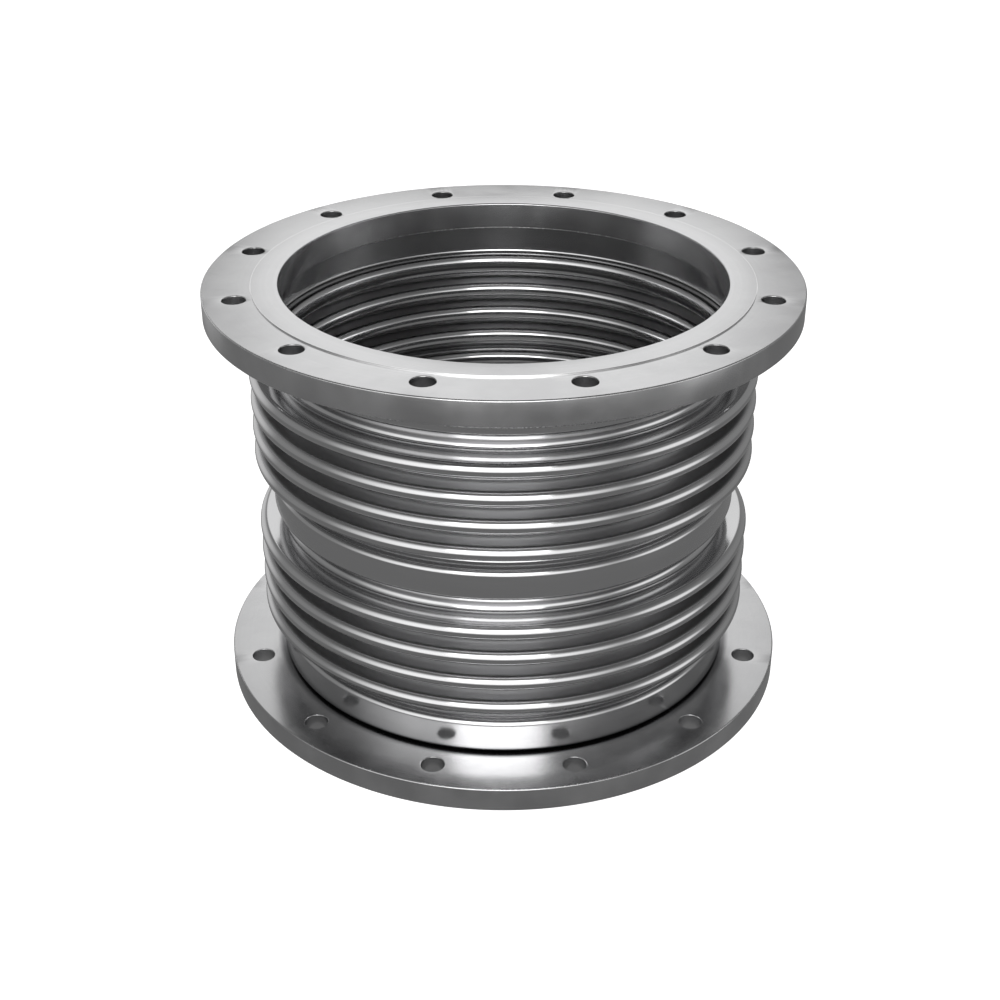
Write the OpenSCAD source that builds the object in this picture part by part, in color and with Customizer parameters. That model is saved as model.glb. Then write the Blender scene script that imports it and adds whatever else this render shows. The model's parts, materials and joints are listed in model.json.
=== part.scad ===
// Exhaust bellows: two bolted plate flanges joined by two corrugated tubes, with a wide rolled collar
// at each flange and one between the tubes. The gas path runs along Z, the lower sealing face lies
// on the XY plane, and the bolt holes straddle the X and Y axes.

/* [Flanges] */
// Bore of each flange, which the gas flows through
flange_bore_d = 329; // [200:1:600]
// Distance from the bore out to the bolt circle
bore_to_bolts = 33; // [32:0.5:50]
// Distance from the bolt circle out to the rim
bolts_to_rim = 22.5; // [15:0.5:40]
// Thickness of the flange plate, without its raised face
flange_t = 19; // [10:0.5:30]
// Width of the raised sealing face around the bore
raised_face_w = 20; // [10:0.5:22]
// Height of the raised sealing face
raised_face_h = 1; // [0.5:0.25:3]
// Bevel on the outside edges of each flange and on the mouth of its bore
flange_bevel = 1; // [0.5:0.1:2]

/* [Bolt holes] */
// Number of bolt holes in each flange
bolt_count = 12; // [8:4:16]
// Diameter of each bolt hole
bolt_hole_d = 17; // [11:0.5:18]
// Bevel on both mouths of each bolt hole
bolt_hole_bevel = 0.6; // [0.2:0.1:0.8]

/* [Corrugated tubes] */
// How far the outside of the plain necks stands out past the flange bore
neck_step = 3; // [2:0.25:5]
// Height of the corrugations, from the neck out to their crests
corrugation_h = 23; // [20:0.5:40]
// Thickness of the corrugated sheet
sheet_t = 1; // [0.6:0.1:1.4]
// Number of corrugations in each tube
corrugation_count = 4; // [2:1:8]
// Distance from one corrugation to the next
corrugation_pitch = 21; // [18:0.5:28]
// Outside radius of the round crest of each corrugation
crest_r = 5.75; // [4.5:0.25:6.75]

/* [Collars] */
// How far the wall of each collar stands out past the necks
collar_rise = 10.5; // [10:0.25:15]
// Thickness of the collar sheet
collar_t = 1.5; // [1:0.1:2]
// Outside radius of the rolled edges of the collars
collar_edge_r = 4; // [3:0.25:5]
// Inside radius of the bend from a collar's shoulder to its lip on the neck
collar_bend_r = 4.75; // [3:0.25:5]
// Height of each end collar, from the flange to its shoulder
end_collar_h = 27.4; // [18:0.2:60]
// Height of the collar between the two corrugated tubes, over its shoulders
centre_collar_h = 24.2; // [16:0.2:120]
// Length of the straight neck between a collar and the first corrugation, with its seam
neck_l = 4; // [3:0.25:20]

/* [Welds] */
// Width of the ring seam in each neck
seam_w = 1.6; // [1:0.1:2]
// Width of the bead that joins each end collar to its flange, inside
bead_w = 2.2; // [1.5:0.1:3]
// Flat left on the flange between that bead and the bore
bead_land = 0.3; // [0.1:0.1:1]

/* [Hidden] */

// Facets of the drawn circles
$fn = 180;
profile_fn = 64;
// How far a cutting shape runs past what it cuts
past = 1;

// Steel colours
plate_grey = [0.70, 0.70, 0.71];
collar_grey = [0.62, 0.62, 0.63];
sheet_grey = [0.66, 0.66, 0.67];
weld_grey = [0.52, 0.52, 0.54];

// Radii about the axis, each stepped out from the bore
bore_r = flange_bore_d / 2;
raised_face_r = bore_r + raised_face_w;
bolt_circle_r = bore_r + bore_to_bolts;
rim_r = bolt_circle_r + bolts_to_rim;
neck_r = bore_r + neck_step;
crest_top_r = neck_r + corrugation_h;
collar_r = neck_r + collar_rise;
// Radius at which the end collar's foot stops, short of the flange bore
foot_r = bore_r + bead_land + bead_w;
// Inside radius of a root, seen from outside the tube: crest and root together make half a pitch
root_r = corrugation_pitch / 2 - crest_r;

// Heights along the axis, from the lower sealing face up
flange_h = raised_face_h + flange_t;
lip_l = (neck_l - seam_w) / 2;
collar_lip_h = collar_bend_r + lip_l;
bellows_l = 2 * lip_l + 2 * root_r + (corrugation_count - 1) * corrugation_pitch + 2 * crest_r;
lower_bellows_z = flange_h + end_collar_h + collar_lip_h + seam_w;
centre_z = lower_bellows_z + bellows_l + seam_w + collar_lip_h + centre_collar_h / 2;
overall_h = 2 * centre_z;

// Half of a bent sheet, as a profile: a ring cut to the side that faces +X (side 1) or -X (side -1)
module half_bend(centre, inner_r, t, side) {
    outer_r = inner_r + t;
    translate(centre)
        intersection() {
            difference() {
                circle(r = outer_r, $fn = profile_fn);
                circle(r = inner_r, $fn = profile_fn);
            }
            translate([side > 0 ? 0 : -outer_r - past, -outer_r - past])
                square([outer_r + past, 2 * (outer_r + past)]);
        }
}

// Quarter of a bent sheet, as a profile: a ring cut to the quadrant that starts at angle from
module quarter_bend(centre, inner_r, t, from) {
    translate(centre)
        intersection() {
            difference() {
                circle(r = inner_r + t, $fn = profile_fn);
                circle(r = inner_r, $fn = profile_fn);
            }
            rotate(from) square(inner_r + t + past);
        }
}

// Straight stretch of sheet, as a profile, from its lowest corner
module straight(corner, size) {
    translate(corner) square(size);
}

// Plate flange with its raised face down at z = 0, its bevelled bore and its ring of bolt holes
module flange() {
    difference() {
        rotate_extrude()
            polygon([
                [bore_r + flange_bevel, 0],
                [raised_face_r, 0],
                [raised_face_r, raised_face_h],
                [rim_r - flange_bevel, raised_face_h],
                [rim_r, raised_face_h + flange_bevel],
                [rim_r, flange_h - flange_bevel],
                [rim_r - flange_bevel, flange_h],
                [bore_r, flange_h],
                [bore_r, flange_bevel]
            ]);
        for (i = [0 : bolt_count - 1])
            rotate((i + 0.5) * 360 / bolt_count)
                translate([bolt_circle_r, 0, 0])
                    bolt_hole();
    }
}

// Cutter for one bolt hole, bevelled at both faces of the plate
module bolt_hole() {
    hole_r = bolt_hole_d / 2;
    mouth_r = hole_r + bolt_hole_bevel + past;
    mouth_h = bolt_hole_bevel + past;
    translate([0, 0, raised_face_h - past])
        cylinder(r = hole_r, h = flange_t + 2 * past);
    translate([0, 0, raised_face_h - past])
        cylinder(r1 = mouth_r, r2 = hole_r, h = mouth_h);
    translate([0, 0, flange_h - bolt_hole_bevel])
        cylinder(r1 = hole_r, r2 = mouth_r, h = mouth_h);
}

// Bead with a flat face, in the corner between a flange and the cut edge of an end collar's foot
module flange_bead() {
    rotate_extrude()
        polygon([
            [foot_r - bead_w, flange_h],
            [foot_r, flange_h],
            [foot_r, flange_h + collar_t]
        ]);
}

// Rolled wall of a collar between two heights, with its two rounded edges, as a profile
module collar_wall(low_z, high_z) {
    bend_x = collar_r - collar_edge_r;
    bend_inner_r = collar_edge_r - collar_t;
    quarter_bend([bend_x, low_z + collar_edge_r], bend_inner_r, collar_t, 270);
    straight([collar_r - collar_t, low_z + collar_edge_r],
             [collar_t, high_z - low_z - 2 * collar_edge_r]);
    quarter_bend([bend_x, high_z - collar_edge_r], bend_inner_r, collar_t, 0);
}

// Shoulder of a collar at height z and the lip that turns up from it to the seam, as a profile
module collar_shoulder(z) {
    bend_x = neck_r + collar_bend_r;
    straight([bend_x, z - collar_t], [collar_r - collar_edge_r - bend_x, collar_t]);
    quarter_bend([bend_x, z + collar_bend_r], collar_bend_r, collar_t, 180);
    straight([neck_r - collar_t, z + collar_bend_r], [collar_t, lip_l]);
}

// Collar between a flange and a corrugated tube: a flat foot, a rolled wall, a shoulder and a lip
module end_collar() {
    shoulder_z = flange_h + end_collar_h;
    rotate_extrude() {
        straight([foot_r, flange_h], [collar_r - collar_edge_r - foot_r, collar_t]);
        collar_wall(flange_h, shoulder_z);
        collar_shoulder(shoulder_z);
    }
}

// Collar between the two corrugated tubes, with a shoulder and a lip at both ends
module middle_collar() {
    rotate_extrude()
        translate([0, centre_z]) {
            collar_wall(-centre_collar_h / 2, centre_collar_h / 2);
            collar_shoulder(centre_collar_h / 2);
            mirror([0, 1]) collar_shoulder(centre_collar_h / 2);
        }
}

// Corrugated tube that starts at z = 0: plain cuffs, crests, roots and the flat walls between them
module corrugated_tube() {
    crest_x = crest_top_r - crest_r;
    root_x = neck_r + root_r;
    first_crest_z = lip_l + root_r + crest_r;
    last_crest_z = bellows_l - first_crest_z;
    rotate_extrude() {
        straight([neck_r - sheet_t, 0], [sheet_t, lip_l]);
        quarter_bend([root_x, lip_l], root_r, sheet_t, 90);
        for (i = [0 : corrugation_count - 1]) {
            z = first_crest_z + i * corrugation_pitch;
            straight([root_x, z - crest_r], [crest_x - root_x, sheet_t]);
            half_bend([crest_x, z], crest_r - sheet_t, sheet_t, 1);
            straight([root_x, z + crest_r - sheet_t], [crest_x - root_x, sheet_t]);
            if (i > 0)
                half_bend([root_x, z - corrugation_pitch / 2], root_r, sheet_t, -1);
        }
        quarter_bend([root_x, last_crest_z + crest_r + root_r], root_r, sheet_t, 180);
        straight([neck_r - sheet_t, bellows_l - lip_l], [sheet_t, lip_l]);
    }
}

// Ring seam that starts at z = 0, with the collar's lip below it and the thinner tube above it
module neck_seam() {
    rotate_extrude()
        polygon([
            [neck_r - collar_t, 0],
            [neck_r, 0],
            [neck_r, seam_w],
            [neck_r - sheet_t, seam_w]
        ]);
}

// What is drawn for the lower half stands again, upside down, in the upper half
module upper_half() {
    translate([0, 0, overall_h]) mirror([0, 0, 1]) children();
}

module bottom_flange() {
    color(plate_grey) flange();
}

module top_flange() {
    color(plate_grey) upper_half() flange();
}

module bottom_flange_bead() {
    color(weld_grey) flange_bead();
}

module top_flange_bead() {
    color(weld_grey) upper_half() flange_bead();
}

module lower_end_collar() {
    color(collar_grey) end_collar();
}

module upper_end_collar() {
    color(collar_grey) upper_half() end_collar();
}

module centre_collar() {
    color(collar_grey) middle_collar();
}

module lower_bellows() {
    color(sheet_grey) translate([0, 0, lower_bellows_z]) corrugated_tube();
}

module upper_bellows() {
    color(sheet_grey) upper_half() translate([0, 0, lower_bellows_z]) corrugated_tube();
}

module lower_end_seam() {
    color(weld_grey) translate([0, 0, lower_bellows_z - seam_w]) neck_seam();
}

module lower_centre_seam() {
    color(weld_grey)
        translate([0, 0, lower_bellows_z + bellows_l + seam_w]) mirror([0, 0, 1]) neck_seam();
}

module upper_centre_seam() {
    color(weld_grey)
        upper_half()
            translate([0, 0, lower_bellows_z + bellows_l + seam_w]) mirror([0, 0, 1]) neck_seam();
}

module upper_end_seam() {
    color(weld_grey) upper_half() translate([0, 0, lower_bellows_z - seam_w]) neck_seam();
}

bottom_flange();
top_flange();
bottom_flange_bead();
top_flange_bead();
lower_end_collar();
upper_end_collar();
centre_collar();
lower_bellows();
upper_bellows();
lower_end_seam();
lower_centre_seam();
upper_centre_seam();
upper_end_seam();
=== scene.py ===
import json
import math

import bmesh
import bpy
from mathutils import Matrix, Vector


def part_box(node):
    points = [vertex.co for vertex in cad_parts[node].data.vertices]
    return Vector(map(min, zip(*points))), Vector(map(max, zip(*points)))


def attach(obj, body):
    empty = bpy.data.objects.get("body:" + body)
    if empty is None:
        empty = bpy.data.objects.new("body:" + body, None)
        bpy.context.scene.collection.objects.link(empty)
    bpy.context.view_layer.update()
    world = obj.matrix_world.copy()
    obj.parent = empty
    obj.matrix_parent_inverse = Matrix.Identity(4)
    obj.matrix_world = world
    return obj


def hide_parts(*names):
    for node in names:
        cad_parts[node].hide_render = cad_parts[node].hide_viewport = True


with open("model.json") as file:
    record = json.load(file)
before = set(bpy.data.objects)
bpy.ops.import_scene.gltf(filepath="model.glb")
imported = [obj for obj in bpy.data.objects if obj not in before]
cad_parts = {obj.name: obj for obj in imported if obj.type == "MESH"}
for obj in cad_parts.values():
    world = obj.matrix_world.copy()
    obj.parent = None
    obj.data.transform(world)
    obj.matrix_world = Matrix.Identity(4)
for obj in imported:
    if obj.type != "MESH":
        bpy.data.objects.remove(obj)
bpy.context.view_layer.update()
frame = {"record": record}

# Plate flanges. Each is a ring of 19 mm stainless plate, turned flat, with a raised sealing face round
# the bore, chamfers and twelve drilled holes. Its edges are worn. The corner at its step is painted
# lighter, a painted light, and a ring round the collar's foot is painted darker, a painted shade. The
# upper flange is the lower one turned over.
RING_STEPS = 360
HOLE_STEPS = 48
CHAMFER = 0.001
HOLE_CHAMFER = 0.0006
RAISED_FACE_WIDTH = 0.020
RAISED_FACE_HEIGHT = 0.001
HAIR = 0.00001
MERGE_GAP = 0.000004

mounts = {mount["name"]: mount["dims"] for mount in frame["record"]["mounts"]}
bore_r = mounts["bottom_bore"]["r_mm"] / 1000
bolt_circle_r = mounts["bottom_bolts"]["pcd_mm"] / 2000
bolt_count = mounts["bottom_bolts"]["count"]
hole_r = mounts["bottom_bolts"]["hole_r_mm"] / 1000
rim_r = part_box("bottom_flange")[1][0]
flange_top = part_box("bottom_flange")[1][2]
middle_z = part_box("top_flange")[1][2] / 2
half_gap = middle_z - flange_top
collar_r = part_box("lower_end_collar")[1][0]


def deselect_everything():
    if bpy.context.mode != "OBJECT":
        bpy.ops.object.mode_set(mode="OBJECT")
    bpy.ops.object.select_all(action="DESELECT")


def choose(piece):
    deselect_everything()
    bpy.context.view_layer.objects.active = piece
    piece.select_set(True)


def edit(piece):
    choose(piece)
    bpy.ops.object.mode_set(mode="EDIT")


def leave_edit():
    bpy.ops.object.mode_set(mode="OBJECT")


def pick(kind, test):
    """Selects the vertices, edges or faces of the edited mesh whose place passes the test."""
    bpy.ops.mesh.select_mode(type=kind)
    bpy.ops.mesh.select_all(action="DESELECT")
    mesh = bmesh.from_edit_mesh(bpy.context.edit_object.data)
    parts = {"VERT": mesh.verts, "EDGE": mesh.edges, "FACE": mesh.faces}[kind]
    for part in parts:
        if kind == "VERT":
            part.select_set(test(part.co))
        elif all(test(corner.co) for corner in part.verts):
            part.select_set(True)
    mesh.select_flush(True)
    bmesh.update_edit_mesh(bpy.context.edit_object.data)


def near(value, target, tolerance=0.00002):
    return abs(value - target) < tolerance


def add_section(name, low_r, high_r, low_z, high_z):
    """A flat rectangle in the XZ plane, as wide and as high as the section of a turned piece."""
    deselect_everything()
    bpy.ops.mesh.primitive_plane_add(size=1, rotation=(math.pi / 2, 0, 0),
                                     location=((low_r + high_r) / 2, 0, (low_z + high_z) / 2))
    piece = bpy.context.active_object
    piece.name = piece.data.name = name
    piece.scale = (high_r - low_r, high_z - low_z, 1)
    bpy.ops.object.transform_apply(location=True, rotation=True, scale=True)
    edit(piece)
    return piece


def turn_about_axis(steps):
    """Turns the drawn section once round the Z axis and closes it where it meets itself."""
    bpy.ops.mesh.select_mode(type="VERT")
    bpy.ops.mesh.select_all(action="SELECT")
    bpy.ops.mesh.spin(steps=steps, angle=2 * math.pi, center=(0, 0, 0), axis=(0, 0, 1))
    bpy.ops.mesh.select_all(action="SELECT")
    bpy.ops.mesh.remove_doubles(threshold=MERGE_GAP)
    bpy.ops.mesh.normals_make_consistent(inside=False)


def apply_modifiers(piece):
    choose(piece)
    for modifier in list(piece.modifiers):
        bpy.ops.object.modifier_apply(modifier=modifier.name)


def smooth(piece, degrees):
    """Shades a piece round, but for the edges that turn by more than that angle."""
    choose(piece)
    bpy.ops.object.shade_smooth_by_angle(angle=math.radians(degrees))


def turned_over(piece, name, about_z):
    """A copy of a piece with its own mesh, mirrored about a level plane."""
    choose(piece)
    bpy.ops.object.duplicate()
    copy = bpy.context.active_object
    copy.name = copy.data.name = name
    edit(copy)
    bpy.ops.mesh.select_all(action="SELECT")
    bpy.ops.transform.resize(value=(1, 1, -1), center_override=(0, 0, about_z))
    bpy.ops.mesh.normals_make_consistent(inside=False)
    leave_edit()
    return copy


lower_flange = add_section("lower_flange_plate", bore_r, rim_r, RAISED_FACE_HEIGHT, flange_top)
raised_face_r = bore_r + RAISED_FACE_WIDTH
bpy.ops.mesh.select_all(action="SELECT")
bpy.ops.mesh.bisect(plane_co=(raised_face_r, 0, 0), plane_no=(1, 0, 0))
pick("EDGE", lambda at: near(at.z, RAISED_FACE_HEIGHT) and at.x < raised_face_r + HAIR)
bpy.ops.mesh.extrude_edges_move(TRANSFORM_OT_translate={"value": (0, 0, -RAISED_FACE_HEIGHT)})
pick("VERT", lambda at: near(at.x, rim_r) or (near(at.x, bore_r) and near(at.z, 0)))
bpy.ops.mesh.bevel(offset=CHAMFER, affect="VERTICES", segments=1)
bpy.ops.mesh.select_all(action="SELECT")
bpy.ops.mesh.remove_doubles(threshold=MERGE_GAP)
bpy.ops.mesh.dissolve_limited(angle_limit=math.radians(1))
bpy.ops.mesh.delete(type="ONLY_FACE")
turn_about_axis(RING_STEPS)
leave_edit()

deselect_everything()
bpy.ops.mesh.primitive_cylinder_add(
    vertices=HOLE_STEPS, radius=hole_r, depth=flange_top - RAISED_FACE_HEIGHT - 2 * HOLE_CHAMFER,
    location=(bolt_circle_r, 0, (flange_top + RAISED_FACE_HEIGHT) / 2))
drills = bpy.context.active_object
bpy.ops.object.transform_apply(location=True, rotation=False, scale=False)
edit(drills)
mouth_scale = (hole_r + HOLE_CHAMFER * 2) / hole_r
for mouth_z, way in ((flange_top, 1), (RAISED_FACE_HEIGHT, -1)):
    pick("FACE", lambda at: near(at.z, mouth_z - way * HOLE_CHAMFER))
    past_mouth = (0, 0, way * HOLE_CHAMFER * 2)
    bpy.ops.mesh.extrude_region_move(TRANSFORM_OT_translate={"value": past_mouth})
    bpy.ops.transform.resize(value=(mouth_scale, mouth_scale, 1), center_override=(bolt_circle_r, 0, 0))
bpy.ops.mesh.select_all(action="SELECT")
bpy.ops.transform.rotate(value=math.pi / bolt_count, orient_axis="Z", center_override=(0, 0, 0))
bpy.ops.mesh.spin(steps=bolt_count - 1, dupli=True, angle=2 * math.pi * (1 - 1 / bolt_count),
                  center=(0, 0, 0), axis=(0, 0, 1))
leave_edit()
drilling = lower_flange.modifiers.new("bolt_holes", "BOOLEAN")
drilling.operation = "DIFFERENCE"
drilling.object = drills
apply_modifiers(lower_flange)
bpy.data.objects.remove(drills)
smooth(lower_flange, 50)
upper_flange = turned_over(lower_flange, "upper_flange_plate", middle_z)
for flange in (lower_flange, upper_flange):
    flange.modifiers.new("softened_chamfers", "WEIGHTED_NORMAL").keep_sharp = True
    apply_modifiers(flange)


class Finish:
    """A value in a material. Operators carry it on through Math nodes, and node() adds any other."""

    def __init__(self, tree, socket=None):
        self.tree = tree
        self.socket = socket

    def node(self, kind, settings=None, values=None, output=0):
        """Adds a node, with its settings first and then the values or links of its sockets."""
        made = self.tree.nodes.new("ShaderNode" + kind)
        for name, setting in (settings or {}).items():
            setattr(made, name, setting)
        for name, value in (values or {}).items():
            if isinstance(value, Finish):
                self.tree.links.new(value.socket, made.inputs[name])
            else:
                made.inputs[name].default_value = value
        return Finish(self.tree, made.outputs[output] if made.outputs else None)

    def maths(self, operation, first, second=0.0):
        return self.node("Math", {"operation": operation}, {0: first, 1: second})

    def __add__(self, other):
        return self.maths("ADD", self, other)

    def __radd__(self, other):
        return self.maths("ADD", other, self)

    def __sub__(self, other):
        return self.maths("SUBTRACT", self, other)

    def __rsub__(self, other):
        return self.maths("SUBTRACT", other, self)

    def __mul__(self, other):
        return self.maths("MULTIPLY", self, other)

    def __rmul__(self, other):
        return self.maths("MULTIPLY", other, self)

    def __pow__(self, other):
        return self.maths("POWER", self, other)


def start_finish(name):
    """A new empty material, with the value that its nodes start from and the place on the part."""
    material = bpy.data.materials.new(name)
    material.use_nodes = True
    material.node_tree.nodes.clear()
    surface = Finish(material.node_tree)
    return material, surface, surface.node("TexCoord", output="Object")


def axis_and_radius(surface, place):
    """The height of a point over the lower face and its distance from the Z axis."""
    x, y, z = (surface.node("SeparateXYZ", values={"Vector": place}, output=name) for name in "XYZ")
    return z, (x * x + y * y) ** 0.5


def blotches(surface, place, scale, detail=2.0):
    return surface.node("TexNoise", values={"Vector": place, "Scale": scale, "Detail": detail})


def fine_lines(surface, along, per_metre):
    """Fine random lines across a length, as a turning tool or a polishing belt leaves them."""
    return surface.node("TexNoise", {"noise_dimensions": "1D"},
                        {"W": along, "Scale": per_metre, "Detail": 1.0})


def between(surface, amount, span, edge=0.0):
    """Rises from 0 to 1 over a span, the two ends of which are measured from an edge."""
    low, high = span
    return surface.node("MapRange", {"interpolation_type": "SMOOTHSTEP"},
                        {"Value": amount, "From Min": edge + low, "From Max": edge + high})


def tint(surface, amount, dark, light):
    """A colour between two, each of them three numbers or the colour that another tint gives."""
    dark, light = (end if isinstance(end, Finish) else (*end, 1) for end in (dark, light))
    return surface.node("Mix", {"data_type": "RGBA"}, {0: amount, 6: dark, 7: light}, output=2)


def end_finish(surface, colour, roughness, height, depth):
    """Ends a material as bare metal of that colour and roughness, with its relief in metres."""
    relief = surface.node("Bump", values={"Height": height, "Distance": depth})
    metal = surface.node("BsdfPrincipled", values={
        "Base Color": colour, "Metallic": 1.0, "Roughness": roughness, "Normal": relief})
    surface.node("OutputMaterial", values={"Surface": metal})


def seat(piece, material, node):
    """Gives a piece its metal and puts it in the place of the CAD node that it stands for."""
    piece.data.materials.append(material)
    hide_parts(node)
    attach(piece, "root")


PLATE_DARK = (0.53, 0.53, 0.535)
PLATE_LIGHT = (0.68, 0.68, 0.685)
STEP_PAINTED_LIGHT = (0.88, 0.88, 0.88)
FOOT_SHADE_GREY = (0.22, 0.22, 0.225)
PLATE_ROUGHNESS = 0.2
PLATE_RELIEF = 0.000001
PATCH_SPAN = (0.3, 0.7)
WORN_GRAIN_SPAN = (0.35, 0.6)
INNER_FACE_FADE = (0.0003, 0.0016)
OUTER_FACE_RISE = (-0.0026, -0.0013)
RIM_RISE = (-0.0018, -0.0006)
STEP_FADE = (0.0001, 0.0004)
STEP_TOP_RISE = (-0.0016, -0.0012)
FOOT_SHADE_RISE = (-0.004, -0.002)
FOOT_SHADE_FADE = (0.0015, 0.007)

plate_finish, plate, place = start_finish("turned_plate_steel")
height, radius = axis_and_radius(plate, place)
patches = between(plate, blotches(plate, place, scale=24, detail=4.0), PATCH_SPAN)
turning = fine_lines(plate, radius + height, per_metre=500)
grain = blotches(plate, place, scale=420, detail=4.0)
from_middle = plate.maths("ABSOLUTE", height - middle_z)
inner_edge = 1 - between(plate, from_middle, INNER_FACE_FADE, half_gap)
outer_edge = between(plate, from_middle, OUTER_FACE_RISE, middle_z)
from_step = plate.maths("ABSOLUTE", radius - raised_face_r)
# Painted light: the corner at the foot of the raised face's step is painted lighter.
step_painted_light = ((1 - between(plate, from_step, STEP_FADE))
               * between(plate, from_middle, STEP_TOP_RISE, middle_z))
# Painted shade: a dark grey ring on the flange face round the collar's foot.
foot_painted_shade = (inner_edge * between(plate, radius, FOOT_SHADE_RISE, collar_r)
               * (1 - between(plate, radius, FOOT_SHADE_FADE, collar_r)))
worn_edge = (between(plate, radius, RIM_RISE, rim_r) * (inner_edge + outer_edge)
             * between(plate, grain, WORN_GRAIN_SPAN))
bare_plate = tint(plate, patches * 0.7 + grain * 0.1 + worn_edge * 0.3, PLATE_DARK, PLATE_LIGHT)
end_finish(
    plate,
    tint(plate, foot_painted_shade, tint(plate, step_painted_light, bare_plate, STEP_PAINTED_LIGHT), FOOT_SHADE_GREY),
    PLATE_ROUGHNESS + patches * 0.06 + (turning - 0.5) * 0.03 + worn_edge * 0.06,
    turning,
    PLATE_RELIEF)
seat(lower_flange, plate_finish, "bottom_flange")
seat(upper_flange, plate_finish, "top_flange")

# End collars. Each is a strip of 1.5 mm stainless sheet rolled into a ring, with both edges turned in
# over a 4 mm radius: one is the foot that stands on the flange, and the other a shoulder that turns
# into the neck. A belt polished it round the ring. The crevice under the foot's bend is painted near
# black, a painted shade.
COLLAR_STEPS = 288
COLLAR_SHEET = 0.0015
COLLAR_EDGE_R = 0.004
NECK_BEND_R = 0.00475
LIP_LENGTH = 0.0012

neck_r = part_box("lower_end_seam")[1][0]
foot_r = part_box("bottom_flange_bead")[1][0]
shoulder_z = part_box("lower_end_collar")[1][2] - LIP_LENGTH - NECK_BEND_R
neck_bend_x = neck_r + NECK_BEND_R


def bend_inward(from_r, from_z, bend_r, way, degrees, steps):
    """Carries the open end of a drawn sheet round a bend towards the axis, up or down."""
    pick("VERT", lambda at: near(at.x, from_r) and near(at.z, from_z))
    bpy.ops.mesh.spin(steps=steps, angle=-way * math.radians(degrees),
                      center=(from_r, 0, from_z + way * bend_r), axis=(0, 1, 0))


def straight_end(from_r, from_z, length):
    pick("VERT", lambda at: near(at.x, from_r) and near(at.z, from_z))
    bpy.ops.mesh.extrude_vertices_move(TRANSFORM_OT_translate={"value": (0, 0, length)})


def roll_sheet(piece, steps, thickness):
    """Turns a drawn line into a ring of sheet whose outside face is that line."""
    bpy.ops.mesh.select_all(action="SELECT")
    bpy.ops.mesh.delete(type="ONLY_FACE")
    bpy.ops.mesh.select_all(action="SELECT")
    bpy.ops.mesh.remove_doubles(threshold=MERGE_GAP)
    turn_about_axis(steps)
    leave_edit()
    sheet = piece.modifiers.new("sheet", "SOLIDIFY")
    sheet.thickness = thickness
    sheet.offset = -1
    sheet.use_even_offset = True
    apply_modifiers(piece)
    smooth(piece, 40)


lower_collar = add_section("lower_end_collar_sheet", foot_r, collar_r, flange_top, shoulder_z)
pick("EDGE", lambda at: near(at.x, foot_r))
bpy.ops.mesh.delete(type="EDGE_FACE")
pick("VERT", lambda at: near(at.x, foot_r) and near(at.z, shoulder_z))
bpy.ops.transform.translate(value=(neck_bend_x - foot_r, 0, 0))
pick("VERT", lambda at: near(at.x, collar_r))
bpy.ops.mesh.bevel(offset=COLLAR_EDGE_R, affect="VERTICES", segments=12)
bend_inward(neck_bend_x, shoulder_z, NECK_BEND_R, way=1, degrees=90, steps=10)
straight_end(neck_r, shoulder_z + NECK_BEND_R, LIP_LENGTH)
roll_sheet(lower_collar, COLLAR_STEPS, COLLAR_SHEET)
upper_collar = turned_over(lower_collar, "upper_end_collar_sheet", middle_z)

COLLAR_DARK = (0.56, 0.56, 0.565)
COLLAR_LIGHT = (0.63, 0.63, 0.635)
CREVICE_PAINTED_SHADE = (0.03, 0.03, 0.03)
COLLAR_ROUGHNESS = 0.15
COLLAR_RELIEF = 0.0000008
SMEAR_STRETCH = (18, 18, 160)
CREVICE_RISE = (-0.0033, -0.0021)

collar_finish, collar, place = start_finish("belt_polished_sheet")
height, radius = axis_and_radius(collar, place)
patches = blotches(collar, place, scale=9)
lines = fine_lines(collar, height + radius * 0.7, per_metre=500)
stretched = collar.node("VectorMath", {"operation": "MULTIPLY"}, {0: place, 1: SMEAR_STRETCH})
smears = blotches(collar, stretched, scale=1.0, detail=3.0)
from_middle = collar.maths("ABSOLUTE", height - middle_z)
# Painted shade: the sheet in the crevice under the foot's bend is painted near black.
crevice = between(collar, from_middle, CREVICE_RISE, half_gap)
polished = tint(collar, patches * 0.5 + lines * 0.3 + smears * 0.2, COLLAR_DARK, COLLAR_LIGHT)
end_finish(
    collar,
    tint(collar, crevice, polished, CREVICE_PAINTED_SHADE),
    COLLAR_ROUGHNESS + smears * 0.05 + (lines - 0.5) * 0.03,
    lines,
    COLLAR_RELIEF)
seat(lower_collar, collar_finish, "lower_end_collar")
seat(upper_collar, collar_finish, "upper_end_collar")

# Inner beads. A fillet of weld metal in the corner between the flange and the cut edge of the end
# collar's foot, laid from inside the bore in overlapping ripples, then brushed clean.
BEAD_WIDTH = 0.0022
BEAD_CROWN = 0.0003
BEAD_RIPPLES = 560
RIPPLE_STEPS = 3
RIPPLE_RISE = 0.0001
RIPPLES_OFF_PLATE = 0.0002

bead_high_z = flange_top + COLLAR_SHEET


def lay_ripples(ripples, on_crown, rise):
    """Turns a drawn weld section round the axis and lifts the crown once in each ripple."""
    bpy.ops.mesh.select_all(action="SELECT")
    bpy.ops.mesh.delete(type="ONLY_FACE")
    turn_about_axis(ripples * RIPPLE_STEPS)
    step = 2 * math.pi / (ripples * RIPPLE_STEPS)
    pick("VERT", lambda at: on_crown(math.hypot(at.x, at.y), at.z)
         and round(math.atan2(at.y, at.x) / step) % RIPPLE_STEPS == 0)
    bpy.ops.transform.resize(value=(1 + rise, 1 + rise, 1), center_override=(0, 0, 0))
    leave_edit()


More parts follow.
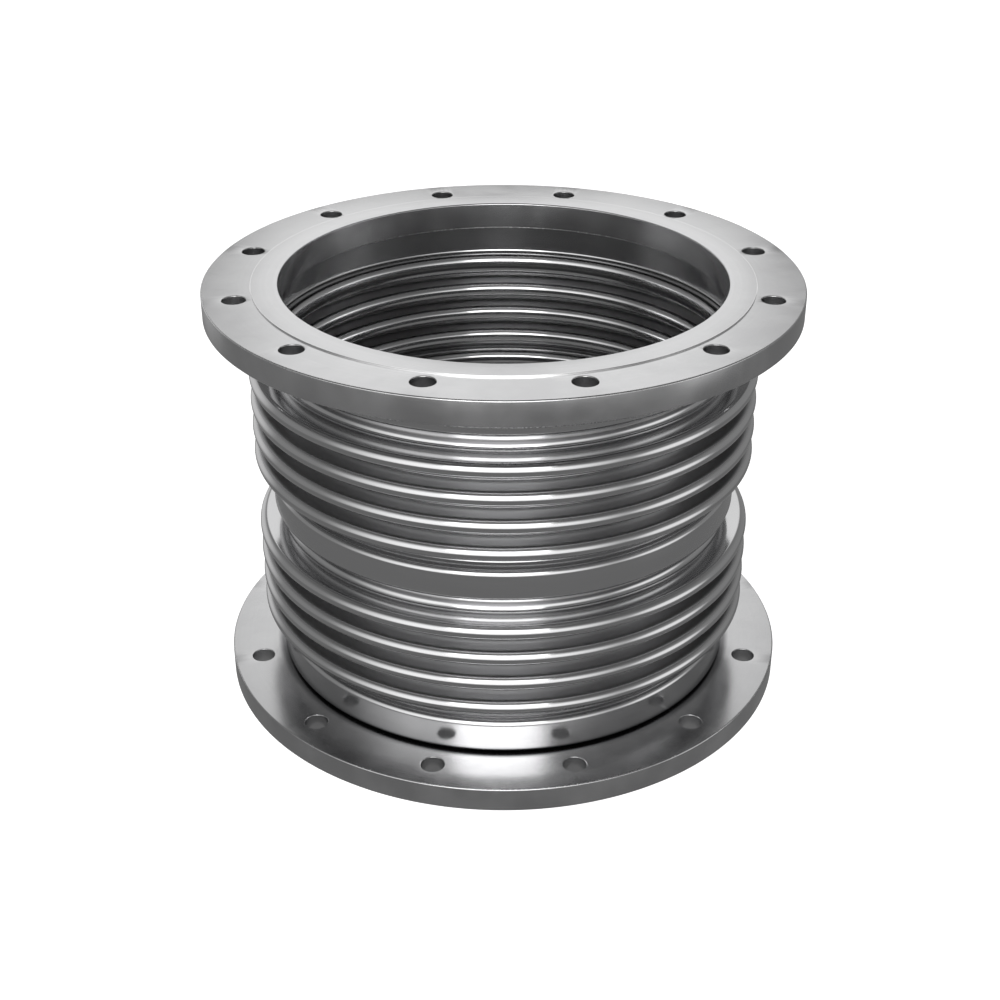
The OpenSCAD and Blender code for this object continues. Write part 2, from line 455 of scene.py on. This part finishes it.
lower_bead = add_section("lower_bead_weld", foot_r - BEAD_WIDTH, foot_r, flange_top, bead_high_z)
pick("VERT", lambda at: near(at.x, foot_r - BEAD_WIDTH) and near(at.z, bead_high_z))
bpy.ops.transform.translate(value=(BEAD_WIDTH / 2 - BEAD_CROWN, 0, BEAD_CROWN - COLLAR_SHEET / 2))
bpy.ops.mesh.bevel(offset=BEAD_WIDTH / 4, affect="VERTICES", segments=4)
crown_r = foot_r - BEAD_WIDTH / 2 - BEAD_CROWN
lay_ripples(
    BEAD_RIPPLES,
    lambda r, z: abs(r - crown_r) < BEAD_WIDTH / 4 and z > flange_top + RIPPLES_OFF_PLATE,
    -RIPPLE_RISE / crown_r)
smooth(lower_bead, 60)
upper_bead = turned_over(lower_bead, "upper_bead_weld", middle_z)

BEAD_DARK = (0.5, 0.5, 0.505)
BEAD_LIGHT = (0.66, 0.66, 0.655)
BEAD_ROUGHNESS = 0.2
WELD_RELIEF = 0.00001


def weld_metal(name, dark, light, roughness):
    """Weld metal between two greys, with the grain of the wire brush and from that roughness up."""
    finish, weld, place = start_finish(name)
    patches = blotches(weld, place, scale=60)
    grain = blotches(weld, place, scale=700, detail=4.0)
    end_finish(
        weld,
        tint(weld, patches * 0.6 + grain * 0.4, dark, light),
        roughness + grain * 0.14,
        grain,
        WELD_RELIEF)
    return finish


bead_finish = weld_metal("brushed_bead_metal", BEAD_DARK, BEAD_LIGHT, BEAD_ROUGHNESS)
seat(lower_bead, bead_finish, "bottom_flange_bead")
seat(upper_bead, bead_finish, "top_flange_bead")

# Corrugated tubes. Each is one thin stainless tube whose four corrugations were pushed out under
# pressure: round crests, flat walls, round roots and a plain cuff at both ends. The sheet is bright
# from the press. The walls between the crests are rougher and painted darker, a painted shade, and
# the cuffs beside the seams are rougher and painted grey, a painted shade.
TUBE_STEPS = 256
TUBE_SHEET = 0.001
CORRUGATIONS = 4
CORRUGATION_PITCH = 0.021
CREST_R = 0.00575

tube_low, tube_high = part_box("lower_bellows")
tube_middle_z = (tube_low[2] + tube_high[2]) / 2
root_r = CORRUGATION_PITCH / 2 - CREST_R
root_x = neck_r + root_r
first_crest_z = tube_low[2] + LIP_LENGTH + root_r + CREST_R
last_crest_z = first_crest_z + (CORRUGATIONS - 1) * CORRUGATION_PITCH

lower_tube = add_section("lower_corrugated_tube", root_x, tube_high[0],
                         first_crest_z - CREST_R, first_crest_z + CREST_R)
pick("EDGE", lambda at: near(at.x, root_x))
bpy.ops.mesh.delete(type="EDGE_FACE")
pick("VERT", lambda at: near(at.x, tube_high[0]))
bpy.ops.mesh.bevel(offset=CREST_R, affect="VERTICES", segments=10, clamp_overlap=False)
for corrugation in range(CORRUGATIONS - 1):
    wall_z = first_crest_z + corrugation * CORRUGATION_PITCH + CREST_R
    pick("VERT", lambda at: at.z > wall_z - 2 * CREST_R - HAIR)
    bpy.ops.mesh.duplicate_move(TRANSFORM_OT_translate={"value": (0, 0, CORRUGATION_PITCH)})
    bend_inward(root_x, wall_z, root_r, way=1, degrees=180, steps=16)
bend_inward(root_x, first_crest_z - CREST_R, root_r, way=-1, degrees=90, steps=8)
straight_end(neck_r, tube_low[2] + LIP_LENGTH, -LIP_LENGTH)
bend_inward(root_x, last_crest_z + CREST_R, root_r, way=1, degrees=90, steps=8)
straight_end(neck_r, tube_high[2] - LIP_LENGTH, LIP_LENGTH)
roll_sheet(lower_tube, TUBE_STEPS, TUBE_SHEET)
upper_tube = turned_over(lower_tube, "upper_corrugated_tube", middle_z)

SHEET_DARK = (0.56, 0.56, 0.565)
SHEET_LIGHT = (0.64, 0.64, 0.645)
WALL_PAINTED_SHADE = (0.47, 0.47, 0.475)
CUFF_SHADE_GREY = (0.2, 0.2, 0.205)
SHEET_ROUGHNESS = 0.1
SHEET_RELIEF = 0.000001
WALL_RISE = (-0.0022, 0.0008)
CREST_FADE = (-0.0045, -0.0015)
END_WALL_FADE = (-0.002, 0.002)
CUFF_SHADE_RISE = (-0.0027, -0.0013)

sheet_finish, sheet, place = start_finish("formed_tube_sheet")
height, radius = axis_and_radius(sheet, place)
patches = blotches(sheet, place, scale=8)
die_rings = fine_lines(sheet, radius * 1.2 + height, per_metre=300)
from_middle = sheet.maths("ABSOLUTE", height - middle_z)
from_tube_middle = sheet.maths("ABSOLUTE", from_middle - (middle_z - tube_middle_z))
end_crest = CORRUGATION_PITCH * (CORRUGATIONS - 1) / 2
# Painted shade: the walls between the crests are painted darker. They are also made rougher.
rough_shaded_walls = (between(sheet, radius, WALL_RISE, root_x)
        * (1 - between(sheet, radius, CREST_FADE, tube_high[0]))
        * (1 - between(sheet, from_tube_middle, END_WALL_FADE, end_crest)))
half_tube = (tube_high[2] - tube_low[2]) / 2
# Painted shade: the cuffs beside the seams are painted dark grey. They are also made rougher.
shaded_rough_cuffs = between(sheet, from_tube_middle, CUFF_SHADE_RISE, half_tube)
bright_sheet = tint(sheet, patches * 0.6 + die_rings * 0.4, SHEET_DARK, SHEET_LIGHT)
end_finish(
    sheet,
    tint(sheet, shaded_rough_cuffs, tint(sheet, rough_shaded_walls, bright_sheet, WALL_PAINTED_SHADE), CUFF_SHADE_GREY),
    SHEET_ROUGHNESS + patches * 0.04 + (die_rings - 0.5) * 0.03 + rough_shaded_walls * 0.22 + shaded_rough_cuffs * 0.2,
    die_rings,
    SHEET_RELIEF)
seat(lower_tube, sheet_finish, "lower_bellows")
seat(upper_tube, sheet_finish, "upper_bellows")

# Ring seams. One in each neck joins the lip of a collar to the cuff of a tube. It is a narrow butt
# weld laid without filler, so its ripples are low and close, it stands only a hair proud, and it is
# dark with heat tint.
SEAM_RIPPLES = 640
SEAM_CROWN = 0.00018

seam_low, seam_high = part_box("lower_end_seam")

lower_end_weld = add_section("lower_end_weld", neck_r - COLLAR_SHEET, neck_r, seam_low[2], seam_high[2])
pick("VERT", lambda at: near(at.x, neck_r - COLLAR_SHEET) and near(at.z, seam_high[2]))
bpy.ops.transform.translate(value=(COLLAR_SHEET - TUBE_SHEET, 0, 0))
pick("EDGE", lambda at: near(at.x, neck_r))
bpy.ops.mesh.subdivide(number_cuts=3)
pick("VERT", lambda at: near(at.x, neck_r) and seam_low[2] + HAIR < at.z < seam_high[2] - HAIR)
bpy.ops.transform.translate(value=(SEAM_CROWN, 0, 0))
lay_ripples(SEAM_RIPPLES, lambda r, z: r > neck_r + SEAM_CROWN / 2, RIPPLE_RISE / neck_r)
smooth(lower_end_weld, 60)
lower_centre_weld = turned_over(lower_end_weld, "lower_centre_weld", tube_middle_z)
upper_end_weld = turned_over(lower_end_weld, "upper_end_weld", middle_z)
upper_centre_weld = turned_over(lower_centre_weld, "upper_centre_weld", middle_z)

SEAM_DARK = (0.14, 0.14, 0.145)
SEAM_LIGHT = (0.32, 0.318, 0.315)
SEAM_ROUGHNESS = 0.34

seam_finish = weld_metal("tinted_seam_metal", SEAM_DARK, SEAM_LIGHT, SEAM_ROUGHNESS)
seat(lower_end_weld, seam_finish, "lower_end_seam")
seat(lower_centre_weld, seam_finish, "lower_centre_seam")
seat(upper_centre_weld, seam_finish, "upper_centre_seam")
seat(upper_end_weld, seam_finish, "upper_end_seam")

# Centre collar. The same rolled strip as the end collars, with a shoulder and a lip at both ends, and
# set between the two corrugated tubes. Its finish is the end collars'.
centre_low, centre_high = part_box("centre_collar")
half_wall = (centre_high[2] - centre_low[2]) / 2 - LIP_LENGTH - NECK_BEND_R

centre_collar = add_section("centre_collar_sheet", neck_bend_x, collar_r,
                            middle_z - half_wall, middle_z + half_wall)
pick("EDGE", lambda at: near(at.x, neck_bend_x))
bpy.ops.mesh.delete(type="EDGE_FACE")
pick("VERT", lambda at: near(at.x, collar_r))
bpy.ops.mesh.bevel(offset=COLLAR_EDGE_R, affect="VERTICES", segments=12)
for way in (1, -1):
    bend_inward(neck_bend_x, middle_z + way * half_wall, NECK_BEND_R, way, degrees=90, steps=10)
    straight_end(neck_r, middle_z + way * (half_wall + NECK_BEND_R), way * LIP_LENGTH)
roll_sheet(centre_collar, COLLAR_STEPS, COLLAR_SHEET)
seat(centre_collar, collar_finish, "centre_collar")

# Floor. A round sheet of pale card just under the part, which glows a little and so stays white.
# Mirror rays pass through it, so the metal over it mirrors the dim lower part of the tent.
FLOOR_RADIUS = 12
FLOOR_DROP = 0.0004
FLOOR_WHITE = (0.93, 0.93, 0.93)
FLOOR_GLOW = 0.95

deselect_everything()
bpy.ops.mesh.primitive_circle_add(vertices=96, radius=FLOOR_RADIUS, fill_type="NGON",
                                  location=(0, 0, -FLOOR_DROP))
floor = bpy.context.active_object
floor.name = floor.data.name = "studio_floor"
floor.visible_glossy = False
card_finish, card = start_finish("pale_card")[:2]
card.node("OutputMaterial", values={"Surface": card.node("BsdfPrincipled", values={
    "Base Color": (*FLOOR_WHITE, 1), "Roughness": 0.9, "Specular IOR Level": 0.0,
    "Emission Color": (*FLOOR_WHITE, 1), "Emission Strength": FLOOR_GLOW})})
floor.data.materials.append(card_finish)

# Studio light. A soft box behind the camera draws the white bands down the front, in a dim grey tent
# with a glowing card round the box and with lamps at the right, at the back left, overhead and behind
# the part, for its sides and the flange faces. The camera sees a plain white backdrop for the tent.
SOFT_BOX_DISTANCE = 2.6
SOFT_BOX_WIDTH = 1.75
SOFT_BOX_HEIGHT = 1.95
SOFT_BOX_TURN = math.radians(-2)
SOFT_BOX_RISE = math.radians(26)
SOFT_BOX_RADIANCE = 2.6
TENT_GLOW = 0.2
HORIZON_GLOW = 0.1
ROOF_LOSS = 0.06
CARD_GLOW = 1.2
RIGHT_GLOW = 0.9
LEFT_GLOW = 0.45
BEHIND_GLOW = 0.88
BEHIND_SPOT_GLOW = 0.6
TOP_GLOW = 0.15
HORIZON_RISE = (-0.3, -0.1)
HORIZON_FADE = (0.3, 0.7)
ROOF_RISE = (0.5, 0.9)
CARD_RISE = (-0.34, -0.12)
CARD_FADE = (0.32, 0.8)

studio = bpy.data.worlds.new("studio")
bpy.context.scene.world = studio
studio.use_nodes = True
studio.node_tree.nodes.clear()
tent = Finish(studio.node_tree)
towards = tent.node("TexCoord", output="Generated")
side = tent.node("SeparateXYZ", values={"Vector": towards}, output="X")
rise = tent.node("SeparateXYZ", values={"Vector": towards}, output="Z")


def lamp(turn, lift, core, reach):
    """A round soft glow in the tent. Its turn from the camera's side, lift and radii are in degrees."""
    turn, lift, core, reach = (math.radians(angle) for angle in (turn, lift, core, reach))
    middle = (math.sin(turn) * math.cos(lift), -math.cos(turn) * math.cos(lift), math.sin(lift))
    nearness = tent.node("VectorMath", {"operation": "DOT_PRODUCT"}, {0: towards, 1: middle},
                         output="Value")
    return between(tent, nearness, (math.cos(reach), math.cos(core)))


card_glow = (lamp(turn=-10, lift=12, core=14, reach=75)
             * between(tent, rise + side * 0.08, CARD_RISE)
             * (1 - between(tent, rise + side * 0.25, CARD_FADE)))
horizon = between(tent, rise, HORIZON_RISE) * (1 - between(tent, rise, HORIZON_FADE))
right_lamp = lamp(turn=76, lift=0, core=6, reach=26)
left_lamp = lamp(turn=-142, lift=2, core=8, reach=30)
behind = lamp(turn=180, lift=32, core=8, reach=19)
behind_spots = (lamp(turn=173.5, lift=17.5, core=1, reach=6)
                + lamp(turn=-173.5, lift=17.5, core=1, reach=6))
top_lamp = lamp(turn=0, lift=72, core=5, reach=24)
glow = (TENT_GLOW + horizon * HORIZON_GLOW - between(tent, rise, ROOF_RISE) * ROOF_LOSS
        + card_glow * CARD_GLOW + right_lamp * RIGHT_GLOW + left_lamp * LEFT_GLOW
        + behind * BEHIND_GLOW + behind_spots * BEHIND_SPOT_GLOW + top_lamp * TOP_GLOW)
in_picture = tent.node("LightPath", output="Is Camera Ray")
tent.node("OutputWorld", values={"Surface": tent.node("Background", values={
    "Color": (1, 1, 1, 1), "Strength": glow * (1 - in_picture) + in_picture})})

box_middle = (math.sin(SOFT_BOX_TURN) * math.cos(SOFT_BOX_RISE) * SOFT_BOX_DISTANCE,
              -math.cos(SOFT_BOX_TURN) * math.cos(SOFT_BOX_RISE) * SOFT_BOX_DISTANCE,
              middle_z + math.sin(SOFT_BOX_RISE) * SOFT_BOX_DISTANCE)
bpy.ops.object.light_add(type="AREA", location=box_middle,
                         rotation=(math.pi / 2 - SOFT_BOX_RISE, 0, SOFT_BOX_TURN))
soft_box = bpy.context.active_object
soft_box.name = soft_box.data.name = "soft_box"
soft_box.data.shape = "RECTANGLE"
soft_box.data.size = SOFT_BOX_WIDTH
soft_box.data.size_y = SOFT_BOX_HEIGHT
soft_box.data.energy = SOFT_BOX_RADIANCE * math.pi * SOFT_BOX_WIDTH * SOFT_BOX_HEIGHT

# Camera. It looks down on the front at 28.5 degrees, from 1.24 m off the middle of the part. Its
# place, tilt and lens were worked out from the outlines of both flanges and from their bolt holes.
CAMERA_PLACE = (-0.00259, -1.09799, 0.72855)
CAMERA_TILT = math.radians(61.511)
CAMERA_LENS = 56.82

bpy.ops.object.camera_add(location=CAMERA_PLACE, rotation=(CAMERA_TILT, 0, 0))
camera = bpy.context.active_object
camera.name = camera.data.name = "camera"
camera.data.lens = CAMERA_LENS
bpy.context.scene.camera = camera
bpy.context.scene.view_settings.view_transform = "Standard"
